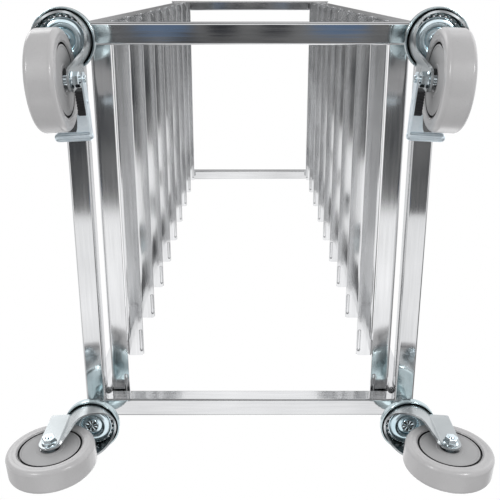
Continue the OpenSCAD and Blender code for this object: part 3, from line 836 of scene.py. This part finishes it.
def newPlane(name, low, high, z, material):  # a level rectangle between two corners
    mesh = bpy.data.meshes.new(name)
    outline = [(low[0], low[1], z), (high[0], low[1], z), (high[0], high[1], z), (low[0], high[1], z)]
    mesh.from_pydata(outline, [], [(0, 1, 2, 3)])
    mesh.materials.append(material)
    plane = bpy.data.objects.new(name, mesh)
    scene.collection.objects.link(plane)
    return plane


def floorMaterial():  # pale, fading out with distance, and nothing at all from underneath
    material = bpy.data.materials.new("Floor")
    material.use_nodes = True
    tree = material.node_tree
    shader = tree.nodes["Principled BSDF"]
    shader.inputs["Base Color"].default_value = (0.86, 0.86, 0.86, 1)
    shader.inputs["Roughness"].default_value = 0.6
    place = put(tree, "TexCoord", {}).outputs["Object"]
    distance = put(tree, "VectorMath", {0: place}, operation="LENGTH").outputs["Value"]
    near = put(tree, "MapRange", {"Value": distance, "From Min": studio["fadeFrom"],
                                  "From Max": studio["fadeTo"], "To Min": 1, "To Max": 0},
               interpolation_type="SMOOTHSTEP").outputs[0]
    under = put(tree, "NewGeometry", {}).outputs["Backfacing"]
    above = put(tree, "Math", {0: 1.0, 1: under}, operation="SUBTRACT").outputs[0]
    alpha = put(tree, "Math", {0: near, 1: above}, operation="MULTIPLY").outputs[0]
    tree.links.new(alpha, shader.inputs["Alpha"])
    return material


def makePatch():  # a soft ellipse about a centre, 1 in the middle; the same on both sides of X = 0
    tree, given, out = newGroup(
        "Soft Patch",
        [("Vector", "Vector", (0, 0, 0)), ("Center", "Vector", (0, 0, 0)), ("Reach", "Vector", (1, 1, 1))],
        [("Mask", "Float")])
    folded = put(tree, "VectorMath", {0: given["Vector"]}, operation="ABSOLUTE").outputs[0]
    away = put(tree, "VectorMath", {0: folded, 1: given["Center"]}, operation="SUBTRACT").outputs[0]
    scaled = put(tree, "VectorMath", {0: away, 1: given["Reach"]}, operation="DIVIDE").outputs[0]
    distance = put(tree, "VectorMath", {0: scaled}, operation="LENGTH").outputs["Value"]
    mask = put(tree, "MapRange", {"Value": distance, "From Min": 0.6, "From Max": 1.1, "To Min": 1,
                                  "To Max": 0}, interpolation_type="SMOOTHSTEP")
    tree.links.new(mask.outputs[0], out["Mask"])
    return tree


def paintedReflectionCardMaterial():  # a dark glowing card with a few darker and cooler patches, a painted reflection seen only in the steel
    material = bpy.data.materials.new("Card")
    material.use_nodes = True
    tree = material.node_tree
    tree.nodes.remove(tree.nodes["Principled BSDF"])
    place = put(tree, "TexCoord", {}).outputs["Object"]
    clouds = put(tree, "TexNoise", {"Vector": place, "Scale": 5, "Detail": 3, "Distortion": 0.6})
    spread = put(tree, "MapRange", {"Value": clouds.outputs["Fac"], "From Min": 0.35, "From Max": 0.65})
    color = mixColor(tree, spread.outputs[0], (0.06, 0.063, 0.068, 1), (0.21, 0.21, 0.21, 1))
    group = makePatch()
    for center, reach, tone in studio["patches"]:
        mask = useGroup(tree, group, {"Vector": place, "Center": center, "Reach": reach})["Mask"]
        color = mixColor(tree, mask, color, (*tone, 1))
    glow = put(tree, "Emission", {"Color": color})
    tree.links.new(glow.outputs[0], tree.nodes["Material Output"].inputs["Surface"])
    return material


floor = newPlane("Floor", [-studio["floorHalf"]] * 2, [studio["floorHalf"]] * 2, 0, floorMaterial())
floor.visible_glossy = False
floor.visible_diffuse = False
floor.visible_shadow = False
# The card glows though it is no lamp; the camera, diffuse rays and shadows skip it, so it is only a painted
# reflection in the steel.
card = newPlane("Card", (-studio["cardHalf"], studio["cardFront"]), (studio["cardHalf"], studio["cardBack"]),
                studio["cardHeight"], paintedReflectionCardMaterial())
card.visible_camera = False
card.visible_diffuse = False
card.visible_shadow = False
card.visible_transmission = False

world = bpy.data.worlds.new("Studio")
scene.world = world
world.use_nodes = True
tree = world.node_tree
direction = put(tree, "TexCoord", {}).outputs["Generated"]
height = put(tree, "SeparateXYZ", {0: direction}).outputs["Z"]
ramp = put(tree, "ValToRGB", {"Fac": put(tree, "MapRange", {"Value": height, "From Min": -1}).outputs[0]})
elements = ramp.color_ramp.elements
for up, _ in studio["levels"][1:-1]:  # levels run from -1, straight down, to 1, straight up
    elements.new((up + 1) / 2)
for element, (up, tone) in zip(elements, studio["levels"]):
    element.position = (up + 1) / 2
    element.color = (tone, tone, tone * 1.01, 1)
around = put(tree, "VectorMath", {0: direction, 1: (1, 1, 0.25)}, operation="MULTIPLY").outputs[0]
noise = put(tree, "TexNoise", {"Vector": around, "Scale": studio["bandScale"], "Detail": 1}).outputs["Fac"]
bands = put(tree, "MapRange", {"Value": noise, "From Min": studio["bandFrom"], "From Max": studio["bandTo"],
                               "To Min": studio["bandLow"], "To Max": studio["bandHigh"]}).outputs[0]
steep = put(tree, "Math", {0: height}, operation="ABSOLUTE").outputs[0]
nearLevel = put(tree, "MapRange", {"Value": steep, "From Min": studio["levelTo"],
                                   "From Max": studio["steepFrom"], "To Min": 1, "To Max": 0},
                interpolation_type="SMOOTHSTEP").outputs[0]
strength = put(tree, "Mix", {"Factor": nearLevel, "A": 1.0, "B": bands}).outputs[0]
room = put(tree, "VectorMath", {0: ramp.outputs["Color"], "Scale": strength}, operation="SCALE").outputs[0]
path = put(tree, "LightPath", {}).outputs
fromBack = put(tree, "SeparateXYZ", {0: direction}).outputs["Y"]
softLevel = put(tree, "MapRange", {"Value": fromBack, "From Min": -1, "From Max": 1,
                                   "To Min": studio["softFront"], "To Max": studio["softBack"]}).outputs[0]
softTone = put(tree, "CombineColor", {"Red": softLevel, "Green": softLevel, "Blue": softLevel}).outputs[0]
soft = mixColor(tree, path["Is Diffuse Ray"], room, softTone)
color = mixColor(tree, path["Is Camera Ray"], soft, (1, 1, 1, 1))
tree.links.new(color, tree.nodes["Background"].inputs["Color"])


def softLight(name, place, target, size, power):  # a round lamp that looks at the target
    data = bpy.data.lights.new(name, "AREA")
    data.shape = "DISK"
    data.size = size
    data.energy = power
    light = bpy.data.objects.new(name, data)
    aim = Vector(target) - Vector(place)
    light.matrix_world = Matrix.Translation(place) @ aim.to_track_quat("-Z", "Y").to_matrix().to_4x4()
    scene.collection.objects.link(light)
    return light


# Name, place, target, size in metres and power in watts.
softLight("Key", (-2.4, -2.6, 3.2), (0, 0, 0.9), 2.2, 26)
softLight("Fill", (2.8, -1.6, 1.6), (0, 0, 0.8), 2.5, 10)
softLight("Back", (0.6, 3.0, 2.6), (0, 0, 0.9), 2.0, 12)
casterPieces = bpy.data.collections.new("Caster pieces")
for piece in scene.collection.objects:
    if piece.name.startswith(("Swivel", "Ball", "Fork", "Axle", "Tread", "Brake", "Pedal")):
        casterPieces.objects.link(piece)
for side, sign in sides.items():  # two small lamps from below that only the casters show
    glint = softLight("Glint " + side, (sign * 1.2, -1.1, -1.0), (0, 0, 0.1), 0.5, 12)
    glint.visible_diffuse = False
    glint.light_linking.receiver_collection = casterPieces

lens = dict(focal=53.46, width=36, pitch=0.31671, place=(0, -0.3569, -0.8592), shift=-0.04)
cosine, sine = math.cos(lens["pitch"]), math.sin(lens["pitch"])
cameraData = bpy.data.cameras.new("Camera")
cameraData.lens = lens["focal"]
cameraData.sensor_width = lens["width"]
cameraData.shift_y = lens["shift"]
cameraData.clip_start = 0.02
camera = bpy.data.objects.new("Camera", cameraData)
camera.matrix_world = Matrix(((1, 0, 0, lens["place"][0]), (0, -cosine, -sine, lens["place"][1]),
                              (0, sine, -cosine, lens["place"][2]), (0, 0, 0, 1)))
scene.collection.objects.link(camera)
scene.camera = camera
scene.view_settings.view_transform = "Standard"

print("scene ready")
